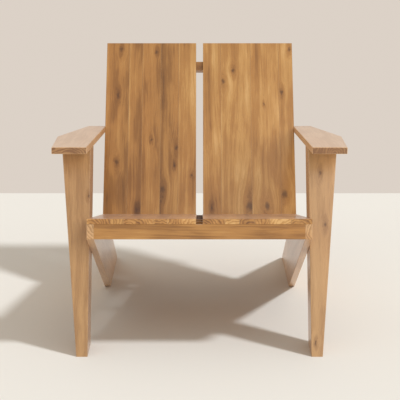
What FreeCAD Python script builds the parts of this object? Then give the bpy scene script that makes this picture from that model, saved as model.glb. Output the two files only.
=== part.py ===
"""Wooden lounge armchair: leaning tapered front legs, wedge side rails that run down into the rear
feet, a seat and a back each of two edge-glued panels, and kite-shaped arm boards.

Row frame: +Z up, the sitter faces -Y, +X is to the right for someone facing the chair, and the
names left and right are theirs too.
The origin is on the floor, midway between the front toes and the rearmost edge. Millimetres, degrees.
"""

import FreeCAD, Part
import Sketcher
import os

DOC = FreeCAD.newDocument("Armchair")

# ---------------------------------------------------------------- driving dimensions

DIMENSIONS = {
    # overall
    "overall_depth": 872.0,        # front toe to rear heel, along the floor
    "frame_width": 570.0,          # over the outer faces of the two side rails
    # front legs: boards that lean back, wide at the top and narrow at the floor
    "leg_lean": 23.8,              # from vertical
    "leg_depth": 84.0,             # square to the lean, as seen from the side
    "foot_width": 29.0,            # as seen from the front, at the floor
    "leg_flare": 5.3,              # outward slope of the outer face, from vertical
    # seat
    "seat_setback": 59.5,          # seat's top front edge behind the front toe
    "seat_height": 347.5,          # seat's top front edge above the floor
    "seat_slope": 13.4,            # down to the rear
    "seat_depth": 519.0,           # along the slope, front edge to back
    "seat_thickness": 14.0,
    "seat_gap": 17.5,              # between the two seat panels
    # back
    "back_recline": 32.5,          # from vertical
    "back_length": 555.0,          # along the back, above the seat
    "back_thickness": 15.0,
    "back_foot": 20.4,             # reach below the seat's surface, down to the tails
    "back_gap": 21.0,              # between the two back panels
    # side rails and bars
    "rail_thickness": 18.0,
    "rail_height": 38.0,           # front end of a side rail, and the front rail
    "front_rail_thickness": 20.0,
    "rear_foot_length": 296.0,     # floor contact of the side rail's tail
    "heel_height": 7.0,
    "seat_bar_thickness": 20.0,
    "seat_bar_height": 32.0,
    "middle_bar_at": 265.0,        # bar's front face behind the seat's front edge
    "rear_bar_inset": 36.0,        # rear bar's rear face ahead of the back
    # back frame
    "post_width": 36.0,
    "post_depth": 40.0,
    "post_tongue": 40.0,           # lap down the inside of the side rail
    "top_bar_height": 29.0,
    "top_bar_thickness": 20.0,
    "top_bar_at": 470.0,           # bar's lower edge above the seat, along the back
    "top_bar_inset": 12.0,         # bar's end short of the panel's outer edge
    "bottom_bar_height": 44.0,
    "bottom_bar_top": 2.0,         # bar's upper edge above the seat, along the back
    "bottom_bar_thickness": 20.0,
    # arms
    "arm_setback": 104.0,          # arm's top front edge behind the front toe
    "arm_height": 522.0,           # arm's top front edge above the floor
    "arm_slope": 5.8,              # down to the rear
    "arm_thickness": 17.0,
    "arm_overlap": 35.1,           # arm's rear end behind the face of the back
    "arm_front_width": 89.0,
    "arm_widest": 108.0,
    "arm_widest_at": 300.0,
    "arm_rear_width": 54.0,
    # staves of each panel, outer edge first; the innermost stave takes what is left
    "seat_left_stave_a": 59.0,
    "seat_left_stave_b": 34.0,
    "seat_left_stave_c": 75.0,
    "seat_left_stave_d": 35.5,
    "seat_right_stave_a": 53.5,
    "seat_right_stave_b": 53.5,
    "seat_right_stave_c": 38.5,
    "seat_right_stave_d": 38.5,
    "seat_right_stave_e": 36.5,
    "back_left_stave_a": 70.0,
    "back_left_stave_b": 41.0,
    "back_left_stave_c": 56.0,
    "back_left_stave_d": 54.0,
    "back_right_stave_a": 43.0,
    "back_right_stave_b": 86.0,
    "back_right_stave_c": 91.0,
    # eased edges
    "board_round": 2.0,            # legs and arms
    "panel_round": 1.5,            # rails, bars, posts, and the panels' outer edges
    # fasteners, and the places of their holes
    "bolt_radius": 3.0,
    "bolt_head_radius": 7.0,
    "bolt_head_height": 3.0,
    "bolt_clearance": 0.25,        # radial, where a bolt passes through wood
    "insert_radius": 5.0,
    "insert_length": 22.0,
    "insert_play": 0.05,           # radial, between a bolt and its threaded insert
    "leg_bolt_spread": 46.0,       # between a leg's two bolts, along the rail
    "leg_bolt_drop": 30.0,         # below the rail's upper edge
    "dowel_radius": 4.0,
    "dowel_depth": 12.0,           # in the thinner piece
    "dowel_reach": 22.0,           # in the thicker piece
    "dowel_spacing": 17.0,
    "arm_dowel_spacing": 44.0,
    "screw_radius": 2.0,
    "screw_head_radius": 4.0,
    "screw_head_height": 2.5,
    "screw_bite": 9.0,             # into a seat or back panel
    "screw_inset": 26.0,           # from the middle gap
    "screw_outset": 62.0,          # from the panel's outer edge
    "lap_screw_bite": 13.0,
    "lap_screw_spacing": 20.0,
    "arm_screw_reach": 34.0,       # into the arm's inner edge
}


def dimension_sheet():
    sheet = DOC.addObject("Spreadsheet::Sheet", "Dims")
    for row, (alias, value) in enumerate(DIMENSIONS.items(), start=1):
        sheet.set(f"A{row}", alias)
        sheet.set(f"B{row}", str(value))
        sheet.setAlias(f"B{row}", alias)
    DOC.recompute()
    return sheet


DIMS = dimension_sheet()


def value(expression):
    """Number that an expression over the sheet gives now."""
    result = DIMS.evalExpression(expression)
    return float(getattr(result, "Value", result))


# ---------------------------------------------------------------- places worked out from the dimensions
# Each is an expression over the sheet. Lengths along Y are measured from the front toe.

LEAN = "Dims.leg_lean"
SLOPE = "Dims.seat_slope"
RECLINE = "Dims.back_recline"
ARM_SLOPE = "Dims.arm_slope"

INNER = "(Dims.frame_width / 2)"
RAIL_INNER = f"({INNER} - Dims.rail_thickness)"
POST_INNER = f"({INNER} - Dims.post_width)"

JOINT_Y = f"(Dims.seat_setback + Dims.seat_depth * cos({SLOPE}))"
JOINT_Z = f"(Dims.seat_height - Dims.seat_depth * sin({SLOPE}))"

# the origin is midway between the front toes and whatever reaches furthest back
BACK_REAR = (
    f"({JOINT_Y} + Dims.back_length * sin({RECLINE}) + Dims.back_thickness * cos({RECLINE}))"
)
TOE_Y = f"(-max(Dims.overall_depth; {BACK_REAR}) / 2)"

# the tail's upper edge runs straight from under the back's face to the heel: its rise over its run
FOOT_Y = f"({JOINT_Y} - Dims.back_foot * sin({RECLINE}))"
FOOT_Z = f"({JOINT_Z} - Dims.back_foot * cos({RECLINE}))"
TAIL_RISE = f"(({FOOT_Z} - Dims.heel_height) / (Dims.overall_depth - {FOOT_Y}))"

# the same edge as the back sees it: rise for each millimetre behind the back's face
TAIL_SLANT = f"((tan({RECLINE}) - {TAIL_RISE}) / (1 + tan({RECLINE}) * {TAIL_RISE}))"

FOOT_RUN = f"(Dims.leg_depth / cos({LEAN}))"
ARM_UNDER = (
    f"(Dims.arm_height - Dims.arm_thickness / cos({ARM_SLOPE})"
    f" + Dims.arm_setback * tan({ARM_SLOPE}))"
)
ARM_LEAN = f"(1 + tan({ARM_SLOPE}) * tan({LEAN}))"

# height up the back, along it, at which its face meets the arms' upper side
ARM_UP_BACK = (
    f"((Dims.arm_height - ({JOINT_Y} - Dims.arm_setback) * tan({ARM_SLOPE}) - {JOINT_Z})"
    f" / (cos({RECLINE}) + sin({RECLINE}) * tan({ARM_SLOPE})))"
)
ARM_LENGTH = (
    f"(({JOINT_Y} + {ARM_UP_BACK} * sin({RECLINE}) - Dims.arm_setback) / cos({ARM_SLOPE})"
    f" + Dims.arm_overlap)"
)


class Frame:
    """A tilted frame: local y runs back and down the board, local z stands on its face."""

    def __init__(self, y, z, angle):
        self.y = y
        self.z = z
        self.angle = angle

    def row_y(self, along, up):
        """Distance behind the front toe of a local point."""
        return f"({self.y} + ({along}) * cos({self.angle}) + ({up}) * sin({self.angle}))"

    def row_z(self, along, up):
        """Height above the floor of a local point."""
        return f"({self.z} - ({along}) * sin({self.angle}) + ({up}) * cos({self.angle}))"

    def hold(self, thing):
        """Bind an object's placement to this frame."""
        axis = FreeCAD.Vector(1, 0, 0)
        start = FreeCAD.Vector(0, value(TOE_Y) + value(self.y), value(self.z))
        thing.Placement = FreeCAD.Placement(start, FreeCAD.Rotation(axis, -value(self.angle)))
        thing.setExpression("Placement.Base.y", f"{TOE_Y} + {self.y}")
        thing.setExpression("Placement.Base.z", self.z)
        if self.angle != "0":
            thing.setExpression("Placement.Rotation.Angle", f"-({self.angle})")


FLOOR = Frame("0", "0", "0")
SEAT = Frame("Dims.seat_setback", "Dims.seat_height", SLOPE)
BACK = Frame(JOINT_Y, JOINT_Z, RECLINE)
ARM = Frame("Dims.arm_setback", "Dims.arm_height", ARM_SLOPE)

# ---------------------------------------------------------------- ways of making a piece

SUB_PARTS = []


def sub_part(thing, label):
    thing.Label = label
    SUB_PARTS.append(thing)
    return thing


def origin_plane(body, role):
    return next(item for item in body.Origin.OriginFeatures if item.Role == role)


def outline(body, role, points, offset="0"):
    """Closed sketch through points, each a pair of expressions, on a plane moved along its normal."""
    sketch = body.newObject("Sketcher::SketchObject", body.Name + "_outline")
    sketch.AttachmentSupport = (origin_plane(body, role), [""])
    sketch.MapMode = "FlatFace"
    sketch.setExpression("AttachmentOffset.Base.z", offset)
    corners = [FreeCAD.Vector(value(x), value(y), 0) for x, y in points]
    count = len(points)
    for index in range(count):
        line = Part.LineSegment(corners[index], corners[(index + 1) % count])
        sketch.addGeometry(line, False)
    for index, (x, y) in enumerate(points):
        sketch.addConstraint(Sketcher.Constraint("Coincident", index, 2, (index + 1) % count, 1))
        for kind, expression in (("DistanceX", x), ("DistanceY", y)):
            number = sketch.addConstraint(
                Sketcher.Constraint(kind, -1, 1, index, 1, value(expression))
            )
            sketch.setExpression(f"Constraints[{number}]", expression)
    return sketch


def board(name, role, points, thickness, offset="0"):
    """Flat board: an outline on one plane, padded along that plane's normal."""
    body = DOC.addObject("PartDesign::Body", name)
    sketch = outline(body, role, points, offset)
    pad = body.newObject("PartDesign::Pad", name + "_pad")
    pad.Profile = sketch
    pad.setExpression("Length", thickness)
    DOC.recompute()
    return body


def rounded(body, radius, wanted):
    """Ease the edges that wanted() picks, by their middle point in the body's own frame."""
    tip = body.Tip
    names = []
    for number, edge in enumerate(tip.Shape.Edges, start=1):
        if wanted(edge):
            names.append(f"Edge{number}")
    fillet = body.newObject("PartDesign::Fillet", body.Name + "_round")
    fillet.Base = (tip, names)
    fillet.setExpression("Radius", radius)
    DOC.recompute()
    return body


def every_edge(edge):
    return True


def rod(axis, start, radius, length):
    """Cylinder along one axis of its group's frame, from a start point of three expressions."""
    thing = DOC.addObject("Part::Cylinder", "rod")
    turn = {
        "X": FreeCAD.Rotation(FreeCAD.Vector(0, 1, 0), 90),
        "Y": FreeCAD.Rotation(FreeCAD.Vector(1, 0, 0), -90),
        "Z": FreeCAD.Rotation(),
    }[axis]
    thing.Placement = FreeCAD.Placement(FreeCAD.Vector(), turn)
    for letter, expression in zip("xyz", start):
        thing.setExpression(f"Placement.Base.{letter}", expression)
    thing.setExpression("Radius", radius)
    thing.setExpression("Height", length)
    return thing


def joined(*things):
    """Several touching pieces as one solid, such as a screw's head and shank."""
    fuse = DOC.addObject("Part::MultiFuse", "joined")
    fuse.Shapes = list(things)
    return fuse


def group(frame, things, name="group"):
    """Separate solids in one frame."""
    compound = DOC.addObject("Part::Compound", name)
    compound.Links = list(things)
    frame.hold(compound)
    return compound


def drilled(name, body, *tools):
    """A piece with the holes that its fasteners sit in."""
    result = body
    for tool in tools:
        cut = DOC.addObject("Part::Cut", name)
        cut.Base = result
        cut.Tool = tool
        result = cut
    DOC.recompute()
    return result


def both_sides(label, right):
    """The piece itself on +X, named right, and its mirror image on -X, named left."""
    sub_part(right, label + "_right")
    mirror = DOC.addObject("Part::Mirroring", label + "_mirror")
    mirror.Source = right
    mirror.Normal = (1, 0, 0)
    mirror.Base = (0, 0, 0)
    return sub_part(mirror, label + "_left")


def on_both_sides(make):
    """What make(sign) gives for +X and for -X, in one list."""
    return make("1") + make("-1")


# ---------------------------------------------------------------- fasteners and their holes

def row_of_screws():
    """Where a panel is screwed to a bar: near the gap, midway and near the outer edge."""
    inner = "(Dims.back_gap / 2 + Dims.screw_inset)"
    outer = f"({INNER} - Dims.screw_outset)"
    return [inner, f"(({inner} + {outer}) / 2)", outer]


def cross_rods(sign, x_from, x_to, places, radius):
    """Rods along X between two distances from the chair's middle, on one side."""
    start = x_from if sign == "1" else f"-({x_to})"
    return [rod("X", (start, y, z), radius, f"({x_to}) - ({x_from})") for y, z in places]


def bolt_places():
    """Where a leg's two bolts cross the side rail, in the seat's frame."""
    drop = "(-Dims.seat_thickness - Dims.leg_bolt_drop)"
    along = (
        f"(((Dims.seat_height + {drop} * cos({SLOPE})) * tan({LEAN}) + {FOOT_RUN} / 2"
        f" - Dims.seat_setback - {drop} * sin({SLOPE})) / (cos({SLOPE}) + sin({SLOPE}) * tan({LEAN})))"
    )
    return [
        (f"({along} - Dims.leg_bolt_spread / 2)", drop),
        (f"({along} + Dims.leg_bolt_spread / 2)", drop),
    ]


def leg_bolts(sign):
    head_from = f"({RAIL_INNER} - Dims.bolt_head_height)"
    tip = f"({INNER} + Dims.insert_length)"
    heads = cross_rods(sign, head_from, RAIL_INNER, bolt_places(), "Dims.bolt_head_radius")
    shanks = cross_rods(sign, RAIL_INNER, tip, bolt_places(), "Dims.bolt_radius")
    return [joined(head, shank) for head, shank in zip(heads, shanks)]


def leg_inserts(sign):
    tip = f"({INNER} + Dims.insert_length)"
    sleeves = cross_rods(sign, INNER, tip, bolt_places(), "Dims.insert_radius")
    bores = cross_rods(sign, INNER, tip, bolt_places(), "Dims.bolt_radius + Dims.insert_play")
    inserts = []
    for sleeve, bore in zip(sleeves, bores):
        insert = DOC.addObject("Part::Cut", "insert")
        insert.Base = sleeve
        insert.Tool = bore
        inserts.append(insert)
    return inserts


def seat_dowel_places():
    """Dowels of the front rail and the two seat bars, in the seat's frame."""
    places = []
    top = "-Dims.seat_thickness"
    bars = [
        ("Dims.front_rail_thickness / 2", "Dims.rail_height"),
        ("(Dims.middle_bar_at + Dims.seat_bar_thickness / 2)", "Dims.seat_bar_height"),
        (
            "(Dims.seat_depth - Dims.rear_bar_inset - Dims.seat_bar_thickness / 2)",
            "Dims.seat_bar_height",
        ),
    ]
    for along, height in bars:
        for step in ("+", "-"):
            places.append((along, f"({top} - {height} / 2 {step} Dims.dowel_spacing / 2)"))
    return places


def seat_dowels(sign):
    inside = f"({RAIL_INNER} - Dims.dowel_reach)"
    outside = f"({RAIL_INNER} + Dims.dowel_depth)"
    return cross_rods(sign, inside, outside, seat_dowel_places(), "Dims.dowel_radius")


def back_dowel_places():
    """Dowels of the bottom bar's ends, in the back's frame."""
    along = "(Dims.back_thickness + Dims.bottom_bar_thickness / 2)"
    middle = "(Dims.bottom_bar_top - Dims.bottom_bar_height / 2)"
    return [
        (along, f"({middle} + Dims.dowel_spacing / 2)"),
        (along, f"({middle} - Dims.dowel_spacing / 2)"),
    ]


def back_dowels(sign):
    inside = f"({POST_INNER} - Dims.dowel_reach)"
    outside = f"({POST_INNER} + Dims.dowel_depth)"
    return cross_rods(sign, inside, outside, back_dowel_places(), "Dims.dowel_radius")


def lap_screw_places():
    """Screws through each post's tongue into the side rail, in the back's frame."""
    along = "(Dims.back_thickness + (Dims.bottom_bar_thickness + Dims.post_depth) / 2)"
    middle = "(-Dims.back_foot - Dims.post_tongue / 2)"
    return [
        (along, f"({middle} + Dims.lap_screw_spacing / 2)"),
        (along, f"({middle} - Dims.lap_screw_spacing / 2)"),
    ]


def lap_screws(sign):
    head_from = f"({POST_INNER} - Dims.screw_head_height)"
    tip = f"({RAIL_INNER} + Dims.lap_screw_bite)"
    heads = cross_rods(sign, head_from, POST_INNER, lap_screw_places(), "Dims.screw_head_radius")
    shanks = cross_rods(sign, POST_INNER, tip, lap_screw_places(), "Dims.screw_radius")
    return [joined(head, shank) for head, shank in zip(heads, shanks)]


def arm_screw_places():
    """The bolt that holds an arm's rear end to its post, in the arm's frame."""
    height = "(Dims.arm_thickness / 2)"
    post_y = BACK.row_y("Dims.back_thickness", ARM_UP_BACK)
    along = f"((({post_y} - Dims.arm_setback) / cos({ARM_SLOPE}) + {ARM_LENGTH}) / 2)"
    return [(along, f"-{height}")]


def arm_screws(sign):
    head_from = f"({POST_INNER} - Dims.bolt_head_height)"
    tip = f"({INNER} + Dims.arm_screw_reach)"
    heads = cross_rods(sign, head_from, POST_INNER, arm_screw_places(), "Dims.bolt_head_radius")
    shanks = cross_rods(sign, POST_INNER, tip, arm_screw_places(), "Dims.bolt_radius")
    return [joined(head, shank) for head, shank in zip(heads, shanks)]


def leg_top_middle():
    """Middle of the leg's top, along the arm."""
    height = f"(({ARM_UNDER} - {FOOT_RUN} / 2 * tan({ARM_SLOPE})) / {ARM_LEAN})"
    behind_toe = f"({FOOT_RUN} / 2 + {height} * tan({LEAN}))"
    return f"(({behind_toe} - Dims.arm_setback) / cos({ARM_SLOPE}))"


def arm_dowels(sign):
    across = f"{sign} * ({INNER} + Dims.foot_width)"
    start_z = "(-Dims.arm_thickness - Dims.dowel_reach)"
    dowels = []
    for step in ("+", "-"):
        along = f"({leg_top_middle()} {step} Dims.arm_dowel_spacing / 2)"
        length = "Dims.dowel_reach + Dims.dowel_depth"
        dowels.append(rod("Z", (across, along, start_z), "Dims.dowel_radius", length))
    return dowels


def back_screws(sign):
    """Screws from behind, through the top and bottom bars into the back panels."""
    bars = [
        ("(Dims.top_bar_at + Dims.top_bar_height / 2)", "Dims.top_bar_thickness"),
        ("((Dims.bottom_bar_top - Dims.back_foot) / 2)", "Dims.bottom_bar_thickness"),
    ]
    screws = []
    for up, thickness in bars:
        rear = f"(Dims.back_thickness + {thickness})"
        tip = "(Dims.back_thickness - Dims.screw_bite)"
        for across in row_of_screws():
            x = f"{sign} * {across}"
            shank = rod("Y", (x, tip, up), "Dims.screw_radius", f"{rear} - {tip}")
            head = rod("Y", (x, rear, up), "Dims.screw_head_radius", "Dims.screw_head_height")
            screws.append(joined(shank, head))
    return screws


def seat_bar_middles():
    return [
        "(Dims.middle_bar_at + Dims.seat_bar_thickness / 2)",
        "(Dims.seat_depth - Dims.rear_bar_inset - Dims.seat_bar_thickness / 2)",
    ]


def seat_screws(sign):
    """Screws from below, through the two seat bars into the seat panels."""
    tip = "(-Dims.seat_thickness + Dims.screw_bite)"
    under = "(-Dims.seat_thickness - Dims.seat_bar_height)"
    screws = []
    for along in seat_bar_middles():
        for across in row_of_screws():
            x = f"{sign} * {across}"
            shank = rod("Z", (x, along, under), "Dims.screw_radius", f"{tip} - {under}")
            head_z = f"{under} - Dims.screw_head_height"
            head = rod("Z", (x, along, head_z), "Dims.screw_head_radius", "Dims.screw_head_height")
            screws.append(joined(shank, head))
    return screws


# ---------------------------------------------------------------- wooden pieces

def side_rail():
    """Wedge board: top edge under the seat, tail down to a long rear foot, tapered front."""
    top_y = SEAT.row_y("0", "-Dims.seat_thickness")
    top_z = SEAT.row_z("0", "-Dims.seat_thickness")
    low_y = SEAT.row_y("0", "-Dims.seat_thickness - Dims.rail_height")
    low_z = SEAT.row_z("0", "-Dims.seat_thickness - Dims.rail_height")
    corner_y = (
        f"((Dims.heel_height + Dims.overall_depth * {TAIL_RISE} - {top_z} - {top_y} * tan({SLOPE}))"
        f" / ({TAIL_RISE} - tan({SLOPE})))"
    )
    corner_z = f"({top_z} - ({corner_y} - {top_y}) * tan({SLOPE}))"
    points = [
        (top_y, top_z),
        (low_y, low_z),
        ("(Dims.overall_depth - Dims.rear_foot_length)", "0"),
        ("Dims.overall_depth", "0"),
        ("Dims.overall_depth", "Dims.heel_height"),
        (corner_y, corner_z),
    ]
    body = board("SideRail", "YZ_Plane", points, "Dims.rail_thickness", RAIL_INNER)

    def long_edges(edge):
        return edge.BoundBox.XLength < 1 and edge.CenterOfMass.z > 1

    rounded(body, "Dims.panel_round", long_edges)
    FLOOR.hold(body)
    return body


def front_leg():
    """Leaning board, square inside, its outer face sloping out from a narrow foot."""
    front_z = f"({ARM_UNDER} / {ARM_LEAN})"
    rear_z = f"(({ARM_UNDER} - {FOOT_RUN} * tan({ARM_SLOPE})) / {ARM_LEAN})"
    points = [
        ("0", "0"),
        (FOOT_RUN, "0"),
        (f"({FOOT_RUN} + {rear_z} * tan({LEAN}))", rear_z),
        (f"({front_z} * tan({LEAN}))", front_z),
    ]
    blank = "(Dims.foot_width + Dims.arm_height * tan(Dims.leg_flare))"
    body = board("FrontLeg", "YZ_Plane", points, blank, INNER)
    foot_x = f"({INNER} + Dims.foot_width)"
    far_x = f"({INNER} + {blank} + 1)"
    wedge = [
        (foot_x, "0"),
        (far_x, "0"),
        (far_x, "Dims.arm_height"),
        (f"({foot_x} + Dims.arm_height * tan(Dims.leg_flare))", "Dims.arm_height"),
    ]
    sketch = outline(body, "XZ_Plane", wedge)
    pocket = body.newObject("PartDesign::Pocket", "FrontLeg_flare")
    pocket.Profile = sketch
    pocket.Type = "ThroughAll"
    pocket.Midplane = True
    DOC.recompute()

    def upright_edges(edge):
        return edge.BoundBox.ZLength > value("Dims.arm_height") / 2

    rounded(body, "Dims.board_round", upright_edges)
    FLOOR.hold(body)
    return body


def arm_board():
    """Kite-shaped board: straight inner edge, widest behind the leg, narrow at the back."""
    points = [
        (INNER, "0"),
        (f"({INNER} + Dims.arm_front_width)", "0"),
        (f"({INNER} + Dims.arm_widest)", "Dims.arm_widest_at"),
        (f"({INNER} + Dims.arm_rear_width)", ARM_LENGTH),
        (INNER, ARM_LENGTH),
    ]
    body = board("Arm", "XY_Plane", points, "Dims.arm_thickness", "-Dims.arm_thickness")
    rounded(body, "Dims.board_round", every_edge)
    ARM.hold(body)
    return body


def bar(name, frame, x_reach, y_from, y_to, z_from, z_to, radius):
    """Straight bar across the chair, with eased long edges."""
    points = [(y_from, z_from), (y_to, z_from), (y_to, z_to), (y_from, z_to)]
    body = board(name, "YZ_Plane", points, f"2 * ({x_reach})", f"-({x_reach})")

    def long_edges(edge):
        return edge.BoundBox.XLength > value(x_reach)

    rounded(body, radius, long_edges)
    frame.hold(body)
    return body


def front_rail():
    under = "(-Dims.seat_thickness)"
    low = "(-Dims.seat_thickness - Dims.rail_height)"
    return bar(
        "FrontRail", SEAT, RAIL_INNER, "0", "Dims.front_rail_thickness", low, under,
        "Dims.panel_round",
    )


def seat_bar(name, middle):
    half = "Dims.seat_bar_thickness / 2"
    low = "(-Dims.seat_thickness - Dims.seat_bar_height)"
    return bar(
        name, SEAT, RAIL_INNER, f"({middle} - {half})", f"({middle} + {half})", low,
        "(-Dims.seat_thickness)", "Dims.panel_round",
    )


def back_top_bar():
    reach = f"({INNER} - Dims.top_bar_inset)"
    rear = "(Dims.back_thickness + Dims.top_bar_thickness)"
    high = "(Dims.top_bar_at + Dims.top_bar_height)"
    return bar(
        "TopBar", BACK, reach, "Dims.back_thickness", rear, "Dims.top_bar_at", high,
        "Dims.panel_round",
    )


def back_bottom_bar():
    rear = "(Dims.back_thickness + Dims.bottom_bar_thickness)"
    low = "(Dims.bottom_bar_top - Dims.bottom_bar_height)"
    return bar(
        "BottomBar", BACK, POST_INNER, "Dims.back_thickness", rear, low, "Dims.bottom_bar_top",
        "Dims.panel_round",
    )


def tail_edge(behind):
    """Height in the back's frame of the tail's upper edge, at a distance behind the back's face."""
    return f"(({behind}) * {TAIL_SLANT} - Dims.back_foot)"


def back_post():
    """Post behind a back panel, from a tongue inside the side rail up to the top bar."""
    front = "Dims.back_thickness"
    rear = "(Dims.back_thickness + Dims.post_depth)"
    tongue = "(-Dims.back_foot - Dims.post_tongue)"
    top = "Dims.top_bar_at"
    points = [(front, tongue), (rear, tongue), (rear, top), (front, top)]
    body = board("BackPost", "YZ_Plane", points, "Dims.post_width", POST_INNER)
    lap = [
        ("0", f"({tongue} - 1)"),
        (f"({rear} + 1)", f"({tongue} - 1)"),
        (f"({rear} + 1)", tail_edge(f"{rear} + 1")),
        ("0", tail_edge("0")),
    ]
    sketch = outline(body, "YZ_Plane", lap, RAIL_INNER)
    pocket = body.newObject("PartDesign::Pocket", "BackPost_lap")
    pocket.Profile = sketch
    pocket.Type = "ThroughAll"
    pocket.Reversed = True
    DOC.recompute()

    def upright_edges(edge):
        return edge.BoundBox.ZLength > value("Dims.back_length") / 2

    rounded(body, "Dims.panel_round", upright_edges)
    BACK.hold(body)
    return body


def stave_edges(panel, side, widths):
    """Distances from the chair's middle of a panel's stave edges, outer edge first."""
    edges = [INNER]
    for letter in widths:
        edges.append(f"({edges[-1]} - Dims.{panel}_{side}_stave_{letter})")
    edges.append(f"(Dims.{panel}_gap / 2)")
    return edges


def panel_staves(panel, side, widths, frame, points, is_end_edge):
    """The edge-glued staves of one panel, numbered from the outer edge inwards."""
    staves = []
    edges = stave_edges(panel, side, widths)
    count = len(edges) - 1
    for number in range(count):
        outer, inner = edges[number], edges[number + 1]
        start = inner if side == "right" else f"-({outer})"
        name = f"{panel}_{side}_stave_{number + 1}"
        body = board(name.title().replace("_", ""), "YZ_Plane", points, f"{outer} - {inner}", start)
        open_sides = []
        sign = 1 if side == "right" else -1
        if number == 0:
            open_sides.append(sign * value(outer))
        if number == count - 1:
            open_sides.append(sign * value(inner))

        def eased(edge, open_sides=open_sides):
            if edge.BoundBox.XLength > 1:
                return is_end_edge(edge)
            return any(abs(edge.CenterOfMass.x - x) < 0.01 for x in open_sides) and is_free(edge)

        rounded(body, "Dims.panel_round", eased)
        frame.hold(body)
        staves.append((name, body))
    return staves


def is_free(edge):
    """Long edges and visible corners of a panel: all but the short edges of its hidden end."""
    return edge.Length > 100


def seat_profile():
    """Seat board from the side: square front end, rear end cut to lie on the back."""
    bevel = f"(Dims.seat_thickness * tan({RECLINE} - {SLOPE}))"
    return [
        ("0", "0"),
        ("0", "-Dims.seat_thickness"),
        (f"(Dims.seat_depth - {bevel})", "-Dims.seat_thickness"),
        ("Dims.seat_depth", "0"),
    ]


def back_profile():
    """Back board from the side: it stands on the tail's edge."""
    return [
        ("0", tail_edge("0")),
        ("Dims.back_thickness", tail_edge("Dims.back_thickness")),
        ("Dims.back_thickness", "Dims.back_length"),
        ("0", "Dims.back_length"),
    ]


def front_end(edge):
    return edge.CenterOfMass.y < 1


def top_end(edge):
    return edge.CenterOfMass.z > value("Dims.back_length") - 1


# ---------------------------------------------------------------- the chair

def build():
    bolt_hole = "Dims.bolt_radius + Dims.bolt_clearance"
    bolts = group(SEAT, on_both_sides(leg_bolts), "LegBolts")
    inserts = group(SEAT, on_both_sides(leg_inserts), "LegInserts")
    dowels = group(SEAT, on_both_sides(seat_dowels), "SeatDowels")
    bar_dowels = group(BACK, on_both_sides(back_dowels), "BackDowels")
    arm_pegs = group(ARM, on_both_sides(arm_dowels), "ArmDowels")
    laps = group(BACK, on_both_sides(lap_screws), "LapScrews")
    arm_bolts = group(ARM, on_both_sides(arm_screws), "ArmScrews")
    panel_screws = group(BACK, on_both_sides(back_screws), "BackScrews")
    under_screws = group(SEAT, on_both_sides(seat_screws), "SeatScrews")

    rail_bolt_holes = group(
        SEAT, cross_rods("1", f"({RAIL_INNER} - 1)", INNER, bolt_places(), bolt_hole)
    )
    insert_tip = f"({INNER} + Dims.insert_length)"
    insert_holes = group(
        SEAT, cross_rods("1", f"({INNER} - 1)", insert_tip, bolt_places(), "Dims.insert_radius")
    )
    post_tip = f"({INNER} + 1)"
    post_bolt_holes = group(
        ARM, cross_rods("1", f"({POST_INNER} - 1)", post_tip, arm_screw_places(), bolt_hole)
    )
    right_dowels = group(SEAT, seat_dowels("1"))
    right_bar_dowels = group(BACK, back_dowels("1"))
    right_pegs = group(ARM, arm_dowels("1"))
    right_laps = group(BACK, lap_screws("1"))
    right_arm_bolts = group(ARM, arm_screws("1"))
    DOC.recompute()

    both_sides("front_leg", drilled("DrilledLeg", front_leg(), insert_holes, right_pegs))
    both_sides(
        "side_rail",
        drilled("DrilledRail", side_rail(), rail_bolt_holes, right_dowels, right_laps),
    )
    sub_part(drilled("DrilledFrontRail", front_rail(), dowels), "front_rail")
    names = ("seat_middle_bar", "seat_rear_bar")
    for label, middle in zip(names, seat_bar_middles()):
        piece = seat_bar(label.title().replace("_", ""), middle)
        sub_part(drilled("Drilled" + piece.Name, piece, dowels, under_screws), label)

    panels = [
        ("seat", "left", "abcd", SEAT, seat_profile(), front_end, under_screws),
        ("seat", "right", "abcde", SEAT, seat_profile(), front_end, under_screws),
        ("back", "left", "abcd", BACK, back_profile(), top_end, panel_screws),
        ("back", "right", "abc", BACK, back_profile(), top_end, panel_screws),
    ]
    for panel, side, widths, frame, profile, end, screws in panels:
        for name, body in panel_staves(panel, side, widths, frame, profile, end):
            sub_part(drilled("Drilled" + body.Name, body, screws), name)

    both_sides(
        "back_post",
        drilled("DrilledPost", back_post(), right_laps, right_bar_dowels, post_bolt_holes),
    )
    sub_part(drilled("DrilledTopBar", back_top_bar(), panel_screws), "back_top_bar")
    piece = drilled("DrilledBottomBar", back_bottom_bar(), panel_screws, bar_dowels)
    sub_part(piece, "back_bottom_bar")
    both_sides("arm", drilled("DrilledArm", arm_board(), right_pegs, right_arm_bolts))

    sub_part(bolts, "leg_bolts")
    sub_part(inserts, "leg_inserts")
    sub_part(dowels, "seat_frame_dowels")
    sub_part(bar_dowels, "back_bar_dowels")
    sub_part(arm_pegs, "arm_dowels")
    sub_part(laps, "post_screws")
    sub_part(arm_bolts, "arm_bolts")
    sub_part(panel_screws, "back_screws")
    sub_part(under_screws, "seat_screws")
    DOC.recompute()


def check():
    """Every object recomputed without error, and every sub-part a valid solid."""
    for thing in DOC.Objects:
        bad = [state for state in thing.State if state in ("Invalid", "Error")]
        if bad:
            raise RuntimeError(f"{thing.Name}: {bad}")
    for thing in SUB_PARTS:
        if thing.Shape.isNull() or not thing.Shape.isValid() or not thing.Shape.Solids:
            raise RuntimeError(f"{thing.Label}: shape is null, invalid or has no solid")


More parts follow.
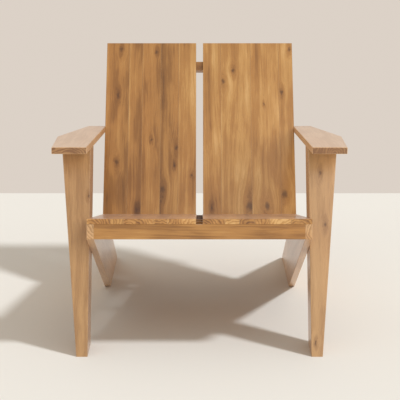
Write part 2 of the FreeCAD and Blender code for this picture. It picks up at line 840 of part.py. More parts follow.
def export():
    os.makedirs("parts", exist_ok=True)
    for thing in SUB_PARTS:
        thing.Shape.exportStep(f"parts/{thing.Label}.step")
        box = thing.Shape.BoundBox
        print(
            f"{thing.Label:24s} solids {len(thing.Shape.Solids):2d} volume {thing.Shape.Volume:10.0f}"
            f" x {box.XMin:7.1f} {box.XMax:7.1f} y {box.YMin:7.1f} {box.YMax:7.1f}"
            f" z {box.ZMin:6.1f} {box.ZMax:6.1f}"
        )


build()
check()
export()
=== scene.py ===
"""Looks of the wooden lounge armchair: oiled edge-glued staves, end grain, knots and worn edges on
every board, and the steel, brass and beech of what holds them together. Metres, +Z up, the sitter faces -Y.
"""

import math

import bmesh
import bpy
from mathutils import Euler, Matrix, Vector

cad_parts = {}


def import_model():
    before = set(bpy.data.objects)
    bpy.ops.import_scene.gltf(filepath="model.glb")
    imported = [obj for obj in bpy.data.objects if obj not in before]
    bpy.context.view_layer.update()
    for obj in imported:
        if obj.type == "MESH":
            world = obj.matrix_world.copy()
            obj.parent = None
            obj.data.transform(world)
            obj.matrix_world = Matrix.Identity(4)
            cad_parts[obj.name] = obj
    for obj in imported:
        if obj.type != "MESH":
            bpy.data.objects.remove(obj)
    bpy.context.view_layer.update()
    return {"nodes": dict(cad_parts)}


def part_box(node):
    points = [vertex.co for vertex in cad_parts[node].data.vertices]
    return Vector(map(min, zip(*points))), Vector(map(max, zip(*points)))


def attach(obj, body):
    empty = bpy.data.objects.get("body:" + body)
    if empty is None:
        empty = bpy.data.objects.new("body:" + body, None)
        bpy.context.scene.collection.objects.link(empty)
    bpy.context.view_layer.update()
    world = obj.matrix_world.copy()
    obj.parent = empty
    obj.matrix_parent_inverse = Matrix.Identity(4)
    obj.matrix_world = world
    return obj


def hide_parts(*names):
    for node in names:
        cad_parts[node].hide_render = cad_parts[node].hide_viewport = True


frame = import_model()

# ---------------------------------------------------------------- how the boards lie

BACK_RECLINE = math.radians(32.5)
SEAT_SLOPE = math.radians(13.4)
ARM_SLOPE = math.radians(5.8)
LEG_LEAN = math.radians(23.8)
RAIL_SLOPE = math.radians(27.0)
QUARTER = math.pi / 2

# turns that bring a board's own z onto its grain
UP_THE_BACK = (-BACK_RECLINE, 0.0, 0.0)
DOWN_THE_SEAT = (-QUARTER - SEAT_SLOPE, 0.0, 0.0)
DOWN_THE_ARM = (-QUARTER - ARM_SLOPE, 0.0, 0.0)
UP_THE_LEG = (-LEG_LEAN, 0.0, 0.0)
DOWN_THE_RAIL = (-QUARTER - RAIL_SLOPE, 0.0, 0.0)
ACROSS = (0.0, QUARTER, 0.0)


# ---------------------------------------------------------------- painting tools

class Finish:
    """One material's tree, and short ways to add to it."""

    def __init__(self, name):
        self.material = bpy.data.materials.new(name)
        self.material.use_nodes = True
        self.tree = self.material.node_tree
        self.shader = self.tree.nodes["Principled BSDF"]

    def join(self, value, socket):
        if isinstance(value, bpy.types.NodeSocket):
            self.tree.links.new(value, socket)
        else:
            socket.default_value = value

    def add(self, kind, inputs=(), **settings):
        node = self.tree.nodes.new(kind)
        for key, value in settings.items():
            setattr(node, key, value)
        for key, value in dict(inputs).items():
            self.join(value, node.inputs[key])
        return node

    def sum(self, operation, *values):
        node = self.add("ShaderNodeMath", operation=operation)
        for socket, value in zip(node.inputs, values):
            self.join(value, socket)
        return node.outputs[0]

    def step(self, value, low, high, to_low=0.0, to_high=1.0):
        """Smooth step from one level to another."""
        node = self.add("ShaderNodeMapRange", interpolation_type="SMOOTHSTEP")
        for key, number in zip(range(5), (value, low, high, to_low, to_high)):
            self.join(number, node.inputs[key])
        return node.outputs[0]

    def vector(self, operation, first, second):
        node = self.add("ShaderNodeVectorMath", operation=operation)
        self.join(first, node.inputs[0])
        self.join(second, node.inputs[1])
        return node

    def noise(self, place, stretch, detail=2.0, roughness=0.5):
        """Noise stretched along a board: stretch is its frequency on each of the board's axes."""
        spot = self.vector("MULTIPLY", place, stretch).outputs[0]
        node = self.add(
            "ShaderNodeTexNoise", {"Vector": spot, "Scale": 1.0, "Detail": detail, "Roughness": roughness}
        )
        return node.outputs[0]

    def shift(self, place, stretch, reach):
        """Noise as a small move either way, up to half its reach on each of the board's axes."""
        spot = self.vector("MULTIPLY", place, stretch).outputs[0]
        node = self.add("ShaderNodeTexNoise", {"Vector": spot, "Scale": 1.0, "Detail": 2.0})
        centred = self.vector("SUBTRACT", node.outputs[1], (0.5, 0.5, 0.5)).outputs[0]
        return self.vector("MULTIPLY", centred, reach).outputs[0]

    def ramp(self, value, stops):
        node = self.add("ShaderNodeValToRGB", {"Fac": value})
        band = node.color_ramp
        band.interpolation = "EASE"
        while len(band.elements) < len(stops):
            band.elements.new(0.5)
        for element, (place, colour) in zip(band.elements, stops):
            element.position = place
            element.color = (*colour, 1.0)
        return node.outputs[0]

    def blend(self, how, amount, first, second):
        node = self.add("ShaderNodeMix", data_type="RGBA", blend_type=how)
        self.join(amount, node.inputs["Factor"])
        for key, value in (("A", first), ("B", second)):
            socket = next(s for s in node.inputs if s.name == key and s.type == "RGBA")
            self.join(value if isinstance(value, bpy.types.NodeSocket) else (*value, 1.0), socket)
        return next(s for s in node.outputs if s.type == "RGBA")


# ---------------------------------------------------------------- wood

# from the darkest streak to the palest, as the oil leaves them
HEARTWOOD = [
    (0.00, (0.140, 0.056, 0.015)),
    (0.30, (0.285, 0.128, 0.032)),
    (0.58, (0.440, 0.215, 0.060)),
    (0.80, (0.555, 0.302, 0.096)),
    (1.00, (0.665, 0.400, 0.155)),
]
SAPWOOD = [
    (0.00, (0.220, 0.108, 0.044)),
    (0.30, (0.360, 0.198, 0.084)),
    (0.58, (0.500, 0.295, 0.132)),
    (0.80, (0.610, 0.385, 0.192)),
    (1.00, (0.730, 0.495, 0.285)),
]
KNOT_DARK = (0.075, 0.028, 0.010)
PORE_DARK = (0.165, 0.070, 0.024)
WORN_PALE = (0.700, 0.450, 0.220)
WORN_WIDTH = 0.0022
RED_STAIN = (1.0, 0.88, 0.78)
# rosy tint of the wood's sheen: a painted reflection of the pale wall seen at grazing angles
SHEEN_TINT_PAINTED_REFLECTION = (1.0, 0.74, 0.66, 1.0)

# how far each layer of the figure moves a board's tone, from 0 darkest to 1 palest
MIDDLE_TONE = 0.58
BANDS_SHOW = 0.95
CLOUDS_SHOW = 1.00
STREAKS_SHOW = 0.50
LINES_SHOW = 0.12
FIBRES_SHOW = 0.42
FLAMES_SHOW = 0.26
END_RINGS_SHOW = 0.30


def board_place(paint, turn, start, seed):
    """Coordinates of a board: x across, y through it, z along the grain; and the same moved by its seed."""
    coordinates = paint.add("ShaderNodeTexCoord").outputs["Object"]
    plain = paint.add("ShaderNodeMapping", {"Vector": coordinates}, vector_type="TEXTURE")
    plain.inputs["Location"].default_value = start
    plain.inputs["Rotation"].default_value = turn
    moved = paint.vector("ADD", plain.outputs[0], (1.7 * seed, 0.9 * seed, 3.1 * seed))
    return plain.outputs[0], moved.outputs[0]


def knot_field(paint, plain, place, knots):
    """How strongly the knots pull the grain round themselves, and how dark they and their flames are."""
    ragged = paint.shift(place, (110.0, 110.0, 70.0), (0.010, 0.0, 0.016))
    parts = paint.add("ShaderNodeSeparateXYZ", {0: paint.vector("ADD", plain, ragged).outputs[0]}).outputs
    push = 0.0
    dark = 0.0
    flame = 0.0
    for across, along, radius in knots:
        aside = paint.sum("SUBTRACT", parts[0], across)
        ahead = paint.sum("SUBTRACT", parts[2], along)
        aside_square = paint.sum("MULTIPLY", aside, aside)

        def span(length_share):
            """Distance from the knot, with lengths along the grain counted at a share."""
            short = paint.sum("MULTIPLY", ahead, length_share)
            return paint.sum("SQRT", paint.sum("MULTIPLY_ADD", short, short, aside_square))

        pull = paint.step(span(0.45), radius * 0.5, radius * 5.0, 0.92, 0.0)
        push = paint.sum("ADD", push, paint.sum("MULTIPLY", aside, pull))
        core = paint.step(span(0.65), radius * 0.2, radius * 1.3, 1.0, 0.0)
        dark = paint.sum("MAXIMUM", dark, core)
        flame = paint.sum("MAXIMUM", flame, paint.step(span(0.32), radius * 0.4, radius * 2.8, 1.0, 0.0))
    return push, dark, flame


class Timber:
    """How one board's colour differs from the next: its wood's palette, tone, figure and end grain, where
    the tone of some boards also carries painted light.
    """

    def __init__(self, palette=HEARTWOOD, tone=0.0, figure=1.0, rings=0.07, red=0.0, end_pale=0.35):
        self.palette = palette
        self.tone = tone
        self.figure = figure
        self.rings = rings
        self.red = red
        self.end_pale = end_pale


def growth_rings(paint, bent, seed, heart):
    """Late wood of the growth rings, about a pith that lies off the board and slants along it."""
    pith_x = heart.x + 0.040 * math.sin(2.3 * seed + 0.4)
    pith_y = heart.y + 0.026 + 0.022 * math.cos(1.7 * seed)
    slant = 0.05 * math.sin(3.1 * seed)
    parts = paint.add("ShaderNodeSeparateXYZ", {0: bent}).outputs
    across = paint.sum("SUBTRACT", parts[0], pith_x)
    ring_x = paint.sum("ADD", across, paint.sum("MULTIPLY", parts[2], slant))
    ring_y = paint.sum("SUBTRACT", parts[1], pith_y)
    radius = paint.sum(
        "SQRT", paint.sum("MULTIPLY_ADD", ring_x, ring_x, paint.sum("MULTIPLY", ring_y, ring_y))
    )
    uneven = paint.noise(bent, (38.0, 38.0, 1.5), 2.0)
    phase = paint.sum("FRACT", paint.sum("MULTIPLY_ADD", radius, 135.0, paint.sum("MULTIPLY", uneven, 3.0)))
    return paint.sum("MULTIPLY", paint.step(phase, 0.25, 0.85), paint.step(phase, 0.88, 1.0, 1.0, 0.0))


def middle_of(node, turn, start):
    """A node's middle in its board's own axes."""
    low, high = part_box(node)
    middle = (low + high) / 2 - Vector(start)
    return Euler(turn).to_matrix().inverted() @ middle


def wood(node, turn, start, seed, timber, knots=(), glue_lines=()):
    """Oiled solid wood of one board: growth rings, bands, streaks, knots, pores, end grain, worn edges."""
    paint = Finish("oiled_" + node)
    plain, place = board_place(paint, turn, start, seed)
    push, dark, flame = knot_field(paint, plain, place, knots)

    # the tree was not straight: the whole section wanders a little along the board
    drift = paint.shift(place, (6.0, 6.0, 2.2), (0.034, 0.034, 0.0))
    bent = paint.vector("ADD", plain, drift).outputs[0]
    aside = paint.add("ShaderNodeCombineXYZ", {0: paint.sum("MULTIPLY", push, -1.0)}).outputs[0]
    bent = paint.vector("ADD", bent, aside).outputs[0]
    late = growth_rings(paint, bent, seed, middle_of(node, turn, start))

    # end grain shows on faces square to the fibres
    facing = paint.add("ShaderNodeTexCoord").outputs["Normal"]
    axis = Vector((0.0, 0.0, 1.0))
    axis.rotate(Euler(turn))
    along_fibres = paint.sum("ABSOLUTE", paint.vector("DOT_PRODUCT", facing, tuple(axis)).outputs["Value"])
    end = paint.step(along_fibres, 0.75, 0.93)

    # broad bands, clouds, streaks and fine fibres
    grain = paint.vector("ADD", bent, (2.3 * seed, 0.7 * seed, 1.9 * seed)).outputs[0]
    bands = paint.noise(grain, (42.0, 42.0, 0.9), 2.0)
    clouds = paint.noise(place, (17.0, 17.0, 6.0), 2.0)
    streaks = paint.noise(grain, (150.0, 150.0, 3.0), 3.0, 0.6)
    lines = paint.step(streaks, 0.60, 0.74)
    fibres = paint.noise(grain, (800.0, 800.0, 22.0), 2.0, 0.6)
    pores = paint.step(paint.noise(grain, (1500.0, 1500.0, 45.0), 1.0), 0.60, 0.72)

    figure = timber.figure
    level = MIDDLE_TONE + timber.tone
    level = paint.sum("MULTIPLY_ADD", paint.sum("SUBTRACT", bands, 0.5), BANDS_SHOW * figure, level)
    level = paint.sum("MULTIPLY_ADD", paint.sum("SUBTRACT", clouds, 0.5), CLOUDS_SHOW * figure, level)
    level = paint.sum("MULTIPLY_ADD", paint.sum("SUBTRACT", streaks, 0.5), STREAKS_SHOW * figure, level)
    level = paint.sum("MULTIPLY_ADD", lines, -LINES_SHOW * figure, level)
    ringed = paint.sum("MULTIPLY", late, paint.sum("MULTIPLY_ADD", end, END_RINGS_SHOW, timber.rings))
    level = paint.sum("SUBTRACT", level, ringed)
    level = paint.sum("MULTIPLY_ADD", paint.sum("SUBTRACT", fibres, 0.5), FIBRES_SHOW, level)
    level = paint.sum("MULTIPLY_ADD", flame, -FLAMES_SHOW, level)
    level = paint.sum("MULTIPLY_ADD", end, timber.end_pale, level)
    line_x = paint.add("ShaderNodeSeparateXYZ", {0: plain}).outputs[0]
    gaps = [paint.sum("ABSOLUTE", paint.sum("SUBTRACT", line_x, edge)) for edge in glue_lines]
    # a strip of paler sapwood comes and goes along the first glued joint
    for gap in gaps[:1]:
        sap = paint.step(paint.noise(place, (0.0, 0.0, 2.6), 1.0), 0.42, 0.60, 0.0, 0.20)
        level = paint.sum("MULTIPLY_ADD", paint.step(gap, 0.0015, 0.0065, 1.0, 0.0), sap, level)
    colour = paint.ramp(level, timber.palette)
    warmth = paint.step(paint.noise(place, (13.0, 13.0, 1.2), 1.0), 0.35, 0.70)
    warmth = paint.sum("MULTIPLY", warmth, 0.30 + timber.red)
    colour = paint.blend("MULTIPLY", warmth, colour, RED_STAIN)
    colour = paint.blend("MIX", paint.sum("MULTIPLY", pores, 0.25), colour, PORE_DARK)
    colour = paint.blend("MIX", paint.sum("MULTIPLY", dark, 0.70), colour, KNOT_DARK)

    # a hair of darker wood beside each glued joint
    for gap in gaps:
        colour = paint.blend("MIX", paint.step(gap, 0.0003, 0.0010, 0.5, 0.0), colour, PORE_DARK)

    # handled edges are rubbed paler
    bevel = paint.add("ShaderNodeBevel", {"Radius": WORN_WIDTH}, samples=4).outputs[0]
    flat = paint.add("ShaderNodeNewGeometry").outputs["Normal"]
    edge = paint.sum("SUBTRACT", 1.0, paint.vector("DOT_PRODUCT", bevel, flat).outputs["Value"])
    rubbed = paint.step(edge, 0.02, 0.22)
    colour = paint.blend("MIX", paint.sum("MULTIPLY", rubbed, 0.35), colour, WORN_PALE)

    gloss = paint.sum("MULTIPLY_ADD", fibres, 0.14, 0.24)
    gloss = paint.sum("MULTIPLY_ADD", end, 0.22, gloss)
    relief = paint.sum("MULTIPLY_ADD", late, 0.30, paint.sum("MULTIPLY", fibres, 0.45))
    relief = paint.sum("MULTIPLY_ADD", pores, -0.60, relief)
    relief = paint.sum("MULTIPLY_ADD", dark, -0.50, relief)
    bump = paint.add("ShaderNodeBump", {"Strength": 0.25, "Distance": 0.0005, "Height": relief}).outputs[0]

    paint.join(colour, paint.shader.inputs["Base Color"])
    paint.join(gloss, paint.shader.inputs["Roughness"])
    paint.join(bump, paint.shader.inputs["Normal"])

    # thin satin lacquer over the oil, and a sheen of raised fibres along the surface, its rosy tint a
    # painted reflection of the pale wall
    paint.shader.inputs["Coat Weight"].default_value = 0.45
    paint.shader.inputs["Coat Roughness"].default_value = 0.22
    paint.shader.inputs["Sheen Weight"].default_value = 0.22
    paint.shader.inputs["Sheen Roughness"].default_value = 0.35
    paint.shader.inputs["Sheen Tint"].default_value = SHEEN_TINT_PAINTED_REFLECTION
    return paint.material


def dress(node, material):
    """Give a CAD node its finish."""
    thing = frame["nodes"][node]
    thing.data.materials.clear()
    thing.data.materials.append(material)


# knots: across the chair, along the grain from the board's start, radius
BACK_KNOTS = {
    "back_left_stave_1": [(-0.240, 0.533, 0.0060), (-0.248, 0.380, 0.0055), (-0.247, 0.163, 0.0060)],
    "back_left_stave_2": [(-0.186, 0.012, 0.0050)],
    "back_left_stave_3": [(-0.132, 0.526, 0.0040), (-0.146, 0.235, 0.0035)],
    "back_left_stave_4": [(-0.070, 0.208, 0.0050), (-0.110, 0.075, 0.0070), (-0.074, 0.150, 0.0035)],
    "back_left_stave_5": [(-0.022, 0.124, 0.0030)],
    "back_right_stave_1": [(0.276, 0.533, 0.0050), (0.250, 0.390, 0.0050), (0.252, 0.062, 0.0100)],
    "back_right_stave_2": [(0.195, 0.351, 0.0025), (0.201, 0.024, 0.0090)],
    "back_right_stave_3": [(0.102, 0.461, 0.0055), (0.073, 0.426, 0.0060), (0.150, 0.024, 0.0120)],
    "back_right_stave_4": [(0.036, 0.018, 0.0040)],
}
RIGHT_LEG_KNOTS = [(0.316, 0.477, 0.0045), (0.326, 0.341, 0.0045), (0.296, 0.035, 0.0035)]
LEFT_LEG_KNOTS = [(-0.289, 0.415, 0.0030)]
# each back stave's own tone, with the right panel's staves also set paler than the left's as painted light
# of the brighter right side
BACK_TONES_AND_PAINTED_SIDE_LIGHT = {
    "back_left_stave_1": -0.13, "back_left_stave_2": 0.01, "back_left_stave_3": 0.00,
    "back_left_stave_4": -0.03, "back_left_stave_5": 0.05, "back_right_stave_1": 0.07,
    "back_right_stave_2": 0.14, "back_right_stave_3": 0.14, "back_right_stave_4": 0.12,
}
SEAT_TONES = (0.00, 0.14, -0.02, -0.12, 0.08, 0.02)


def dress_panel(panel, side, count, turn, start, knots, tones):
    for number in range(1, count + 1):
        name = f"{panel}_{side}_stave_{number}"
        low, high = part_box(name)
        seed = number + (0.37 if side == "right" else 5.61) + (9.3 if panel == "seat" else 0.0)
        timber = Timber(tone=tones[number - 1], figure=0.95, red=0.15 if number % 2 else 0.0, end_pale=0.12)
        dress(name, wood(name, turn, start, seed, timber, knots.get(name, ()), (low.x, high.x)))


def dress_boards():
    joint = Vector((0.0, 0.1271, 0.2272))
    seat_front = Vector((0.0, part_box("seat_left_stave_1")[0].y, 0.3475))
    for side, count in (("left", 5), ("right", 4)):
        tones = [BACK_TONES_AND_PAINTED_SIDE_LIGHT[f"back_{side}_stave_{n}"] for n in range(1, count + 1)]
        dress_panel("back", side, count, UP_THE_BACK, joint, BACK_KNOTS, tones)
    for side, count in (("left", 5), ("right", 6)):
        dress_panel("seat", side, count, DOWN_THE_SEAT, seat_front, {}, SEAT_TONES)

    toe = Vector((0.0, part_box("front_leg_right")[0].y, 0.0))
    # the left leg's tone is set darker than the right's: painted shade of the less lit left side, on top of
    # each leg's own wood tone
    right_leg = Timber(SAPWOOD, -0.02, 0.5, 0.06)
    dress("front_leg_right", wood("front_leg_right", UP_THE_LEG, toe, 21.3, right_leg, RIGHT_LEG_KNOTS))
    left_leg = Timber(SAPWOOD, -0.12, 0.5, 0.06)
    dress("front_leg_left", wood("front_leg_left", UP_THE_LEG, toe, 24.9, left_leg, LEFT_LEG_KNOTS))
    arm_front = Vector((0.0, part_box("arm_right")[0].y, 0.5215))
    # both arms get a pale, rosy tone: partly the wood's own, partly painted reflection standing in for the
    # pale sheen on their tops
    arm = Timber(SAPWOOD, 0.38, 0.6, 0.08, red=0.30, end_pale=-0.72)
    dress("arm_right", wood("arm_right", DOWN_THE_ARM, arm_front, 27.2, arm))
    dress("arm_left", wood("arm_left", DOWN_THE_ARM, arm_front, 29.8, arm))
    # both side rails get a pale, rosy tone: partly the wood's own, partly painted reflection standing in
    # for the grazing reflection on their inner faces
    rail_front = Vector((0.0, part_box("side_rail_right")[0].y, 0.3155))
    for seed, side in ((33.1, "right"), (35.7, "left")):
        rail = Timber(SAPWOOD, 0.28, 0.6, 0.08, red=0.40, end_pale=-0.10)
        dress("side_rail_" + side, wood("side_rail_" + side, DOWN_THE_RAIL, rail_front, seed, rail))
    front = Timber(tone=-0.06, figure=1.1)
    dress("front_rail", wood("front_rail", ACROSS, seat_front, 38.4, front))
    bars = {"seat_middle_bar": -0.12, "seat_rear_bar": -0.12, "back_top_bar": 0.0, "back_bottom_bar": -0.48}
    for seed, (name, tone) in enumerate(bars.items()):
        dress(name, wood(name, ACROSS, joint, 41.0 + 2.7 * seed, Timber(tone=tone, figure=0.7, red=0.2)))
    for seed, name in enumerate(("back_post_left", "back_post_right")):
        dress(name, wood(name, UP_THE_BACK, joint, 53.0 + 2.9 * seed, Timber(tone=-0.02, figure=0.8)))


# ---------------------------------------------------------------- metal and dowels

def metal(name, colour, roughness, scratch):
    paint = Finish(name)
    place = paint.add("ShaderNodeTexCoord").outputs["Object"]
    haze = paint.noise(place, (scratch, scratch, scratch), 4.0, 0.7)
    paint.join(
        paint.ramp(haze, [(0.25, tuple(0.72 * c for c in colour)), (0.75, colour)]),
        paint.shader.inputs["Base Color"],
    )
    paint.join(paint.sum("MULTIPLY_ADD", haze, 0.25, roughness), paint.shader.inputs["Roughness"])
    paint.shader.inputs["Metallic"].default_value = 1.0
    bump = paint.add("ShaderNodeBump", {"Strength": 0.2, "Distance": 0.0001, "Height": haze})
    paint.join(bump.outputs[0], paint.shader.inputs["Normal"])
    return paint.material


def select_top(piece):
    """In edit mode, select only the piece's highest level face."""
    bpy.ops.mesh.select_all(action="DESELECT")
    shape = bmesh.from_edit_mesh(piece.data)
    shape.faces.ensure_lookup_table()

    def height_then_lift(face):
        return round(face.calc_center_median().z, 6), face.normal.z

    top = max(shape.faces, key=height_then_lift)
    top.select_set(True)
    shape.select_flush(True)
    bmesh.update_edit_mesh(piece.data)


def raise_top(rise, share):
    """Extrude the selected top, then draw it in or spread it."""
    bpy.ops.mesh.extrude_region_move(TRANSFORM_OT_translate={"value": (0.0, 0.0, rise)})
    bpy.ops.transform.resize(value=(share, share, 1.0), center_override=(0.0, 0.0, 0.0))


def driver_socket(kind, radius, depth):
    """Cutter for the socket in a head: a hexagon for a key, a cross for a screwdriver."""
    bpy.ops.object.select_all(action="DESELECT")
    if kind == "hexagon":
        bpy.ops.mesh.primitive_cylinder_add(vertices=6, radius=0.50 * radius, depth=2 * depth)
        return bpy.context.object
    bpy.ops.mesh.primitive_cube_add(size=1.0)
    cutter = bpy.context.object
    cutter.scale = (1.15 * radius, 0.24 * radius, 2 * depth)
    bpy.ops.object.transform_apply(location=True, rotation=True, scale=True)
    bpy.ops.object.duplicate()
    second = bpy.context.object
    second.data.transform(Matrix.Rotation(QUARTER, 4, "Z"))
    joined = cutter.modifiers.new("cross", "BOOLEAN")
    joined.operation = "UNION"
    joined.object = second
    apply_all(cutter)
    bpy.data.objects.remove(second)
    return cutter


def apply_all(piece):
    bpy.ops.object.select_all(action="DESELECT")
    piece.select_set(True)
    bpy.context.view_layer.objects.active = piece
    for modifier in list(piece.modifiers):
        bpy.ops.object.modifier_apply(modifier=modifier.name)


BOLT = {"head_radius": 0.0070, "head_height": 0.0030, "shank_radius": 0.0030, "kind": "hexagon"}
SCREW = {"head_radius": 0.0040, "head_height": 0.0025, "shank_radius": 0.0020, "kind": "cross"}


def pan_head_fastener(length, head_radius, head_height, shank_radius, kind):
    """One screw or bolt, its head's crown at the origin and its point straight down."""
    bpy.ops.object.select_all(action="DESELECT")
    shank = length - head_height
    bpy.ops.mesh.primitive_cylinder_add(
        vertices=32, radius=shank_radius, depth=shank, location=(0.0, 0.0, -head_height - shank / 2)
    )
    piece = bpy.context.object
    bpy.ops.object.transform_apply(location=True, rotation=True, scale=True)
    bpy.ops.object.mode_set(mode="EDIT")
    select_top(piece)
    raise_top(0.0, head_radius / shank_radius)
    for rise, share in ((0.50, 1.0), (0.22, 0.97), (0.18, 0.87), (0.10, 0.62)):
        raise_top(rise * head_height, share)
    bpy.ops.object.mode_set(mode="OBJECT")
    cutter = driver_socket(kind, head_radius, 0.62 * head_height)
    socket = piece.modifiers.new("socket", "BOOLEAN")
    socket.operation = "DIFFERENCE"
    socket.object = cutter
    apply_all(piece)
    bpy.data.objects.remove(cutter)
    return piece


def separate_fasteners(node):
    """Points of each separate fastener of a group."""
    shape = bmesh.new()
    shape.from_mesh(frame["nodes"][node].data)
    bmesh.ops.remove_doubles(shape, verts=shape.verts, dist=1e-6)
    waiting = set(shape.verts)
    groups = []
    while waiting:
        edge_of_island = [waiting.pop()]
        island = []
        while edge_of_island:
            point = edge_of_island.pop()
            island.append(point.co.copy())
            for line in point.link_edges:
                other = line.other_vert(point)
                if other in waiting:
                    waiting.remove(other)
                    edge_of_island.append(other)
        groups.append(island)
    shape.free()
    return groups


def fit_fasteners(node, out_of_wood, pattern, finish):
    """Put a real screw or bolt wherever the group has one; out_of_wood gives the way its head faces."""
    copies = []
    for number, island in enumerate(separate_fasteners(node)):
        middle = sum(island, Vector()) / len(island)
        axis = out_of_wood(middle).normalized()
        far = max(point.dot(axis) for point in island)
        near = min(point.dot(axis) for point in island)
        crown = middle + axis * (far - middle.dot(axis))
        if number == 0:
            master = pan_head_fastener(far - near, **pattern)
        copy = bpy.data.objects.new(f"{node}_{number}", master.data.copy())
        bpy.context.scene.collection.objects.link(copy)
        turn = axis.to_track_quat("Z", "Y").to_matrix().to_4x4()
        copy.data.transform(Matrix.Translation(crown) @ turn @ Matrix.Rotation(0.7 * number, 4, "Z"))
        copies.append(copy)
    bpy.data.objects.remove(master)
    bpy.ops.object.select_all(action="DESELECT")
    for copy in copies:
        copy.select_set(True)
    piece = copies[0]
    bpy.context.view_layer.objects.active = piece
    bpy.ops.object.join()
    piece.name = node + "_with_sockets"
    bpy.ops.object.shade_smooth_by_angle(angle=math.radians(35.0))
    piece.data.materials.clear()
    piece.data.materials.append(finish)
    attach(piece, "root")
    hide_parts(node)


def towards_the_middle(place):
    return Vector((-1.0 if place.x > 0 else 1.0, 0.0, 0.0))


def behind_the_back(place):
    return Vector((0.0, math.cos(BACK_RECLINE), -math.sin(BACK_RECLINE)))


def under_the_seat(place):
    return Vector((0.0, -math.sin(SEAT_SLOPE), -math.cos(SEAT_SLOPE)))


def dress_fasteners():
    zinc = metal("zinc_plated_steel", (0.62, 0.62, 0.58), 0.28, 900.0)
    brass = metal("turned_brass", (0.72, 0.52, 0.24), 0.25, 900.0)
    for name in ("leg_bolts", "arm_bolts", "post_screws", "back_screws", "seat_screws"):
        dress(name, zinc)
    dress("leg_inserts", brass)
    fit_fasteners("leg_bolts", towards_the_middle, BOLT, zinc)
    fit_fasteners("arm_bolts", towards_the_middle, BOLT, zinc)
    fit_fasteners("post_screws", towards_the_middle, SCREW, zinc)
    fit_fasteners("back_screws", behind_the_back, SCREW, zinc)
    fit_fasteners("seat_screws", under_the_seat, SCREW, zinc)
    beech = Timber(SAPWOOD, 0.3, 0.4)
    for name in ("seat_frame_dowels", "back_bar_dowels"):
        dress(name, wood(name, ACROSS, (0.0, 0.0, 0.3), 61.0, beech))
    dress("arm_dowels", wood("arm_dowels", UP_THE_LEG, (0.0, 0.0, 0.3), 64.0, beech))


# ---------------------------------------------------------------- stage, light and camera

FLOOR_PALE = (0.830, 0.795, 0.735)
WALL_PALE = (0.715, 0.640, 0.570)
FLOOR_BACK_EDGE = 1.315
FLOOR_FRONT_EDGE = -4.5
FLOOR_HALF_WIDTH = 4.5
TOWARDS_SUN = Vector((0.905, -0.215, 1.0))
ROOM_LIGHT = (1.0, 0.945, 0.87, 1.0)
ROOM_STRENGTH = 0.62
PANEL_WARM = (1.0, 0.965, 0.92)
EYE_PLACE = (0.0013, -3.3594, 1.1430)
EYE_DIPS = math.radians(14.06)
LENS_LENGTH = 110.08


def floor():
    bpy.ops.object.select_all(action="DESELECT")
    bpy.ops.mesh.primitive_plane_add(size=1.0)
    plane = bpy.context.object
    plane.name = "studio_floor"
    plane.scale = (2 * FLOOR_HALF_WIDTH, FLOOR_BACK_EDGE - FLOOR_FRONT_EDGE, 1.0)
    plane.location = (0.0, (FLOOR_BACK_EDGE + FLOOR_FRONT_EDGE) / 2, -0.0002)
    paint = Finish("limewashed_floor")
    place = paint.add("ShaderNodeTexCoord").outputs["Object"]
    cloud = paint.noise(place, (3.0, 3.0, 3.0), 3.0)
    pale = paint.ramp(cloud, [(0.2, tuple(0.97 * c for c in FLOOR_PALE)), (0.8, FLOOR_PALE)])
    paint.join(pale, paint.shader.inputs["Base Color"])
    paint.shader.inputs["Roughness"].default_value = 0.85
    paint.shader.inputs["Specular IOR Level"].default_value = 0.15
    plane.data.materials.append(paint.material)
    return plane


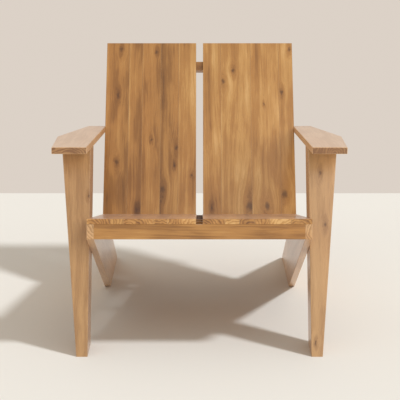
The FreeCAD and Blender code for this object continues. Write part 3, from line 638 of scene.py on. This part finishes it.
def world():
    """Soft even room light; what the camera and the gloss see behind is the pale wall."""
    sky = bpy.data.worlds.new("studio_room")
    sky.use_nodes = True
    bpy.context.scene.world = sky
    tree = sky.node_tree
    out = tree.nodes["World Output"]
    lit = tree.nodes["Background"]
    lit.inputs["Color"].default_value = ROOM_LIGHT
    lit.inputs["Strength"].default_value = ROOM_STRENGTH
    seen = tree.nodes.new("ShaderNodeBackground")
    seen.inputs["Color"].default_value = (*WALL_PALE, 1.0)
    seen.inputs["Strength"].default_value = 1.0
    path = tree.nodes.new("ShaderNodeLightPath")
    shown = path.outputs["Is Camera Ray"]
    for ray in ("Is Glossy Ray", "Is Transmission Ray"):
        either = tree.nodes.new("ShaderNodeMath")
        either.operation = "MAXIMUM"
        tree.links.new(shown, either.inputs[0])
        tree.links.new(path.outputs[ray], either.inputs[1])
        shown = either.outputs[0]
    mix = tree.nodes.new("ShaderNodeMixShader")
    tree.links.new(shown, mix.inputs["Fac"])
    tree.links.new(lit.outputs[0], mix.inputs[1])
    tree.links.new(seen.outputs[0], mix.inputs[2])
    tree.links.new(mix.outputs[0], out.inputs["Surface"])


def shine_only_on(lamp, things):
    """Keep a lamp's light to some things; everything still throws its shadow."""
    group = bpy.data.collections.new(lamp.name + "_lights")
    for thing in things:
        group.objects.link(thing)
    lamp.light_linking.receiver_collection = group


def softbox(name, place, aim, size, power, colour, things):
    panel = bpy.data.lights.new(name, "AREA")
    panel.size = size
    panel.energy = power
    panel.color = colour
    lamp = bpy.data.objects.new(name, panel)
    lamp.location = place
    lamp.rotation_euler = (Vector(place) - Vector(aim)).to_track_quat("Z", "Y").to_euler()
    bpy.context.scene.collection.objects.link(lamp)
    shine_only_on(lamp, things)


def lamps(plane):
    """A low window sun draws the chair's shadow on the floor; soft panels light the chair itself."""
    sun = bpy.data.lights.new("window_sun", "SUN")
    sun.energy = 2.22
    sun.angle = math.radians(6.5)
    sun.color = (0.90, 0.95, 1.0)
    lamp = bpy.data.objects.new("window_sun", sun)
    lamp.rotation_euler = TOWARDS_SUN.to_track_quat("Z", "Y").to_euler()
    bpy.context.scene.collection.objects.link(lamp)
    shine_only_on(lamp, [plane])
    chair = [thing for thing in bpy.data.objects if thing.type == "MESH" and thing is not plane]
    middle = (0.0, 0.0, 0.35)
    softbox("key_panel", (2.0, -2.4, 2.3), middle, 2.8, 64.0, PANEL_WARM, chair)
    softbox("fill_panel", (-2.2, -2.3, 1.5), middle, 1.8, 14.0, PANEL_WARM, chair)


def camera():
    lens = bpy.data.cameras.new("front_camera")
    lens.sensor_width = 36.0
    lens.lens = LENS_LENGTH
    eye = bpy.data.objects.new("front_camera", lens)
    eye.location = EYE_PLACE
    eye.rotation_euler = (QUARTER - EYE_DIPS, 0.0, 0.0)
    bpy.context.scene.collection.objects.link(eye)
    bpy.context.scene.camera = eye


# ---------------------------------------------------------------- making it

bpy.context.scene.view_settings.view_transform = "Standard"
camera()
world()
dress_boards()
dress_fasteners()
lamps(floor())
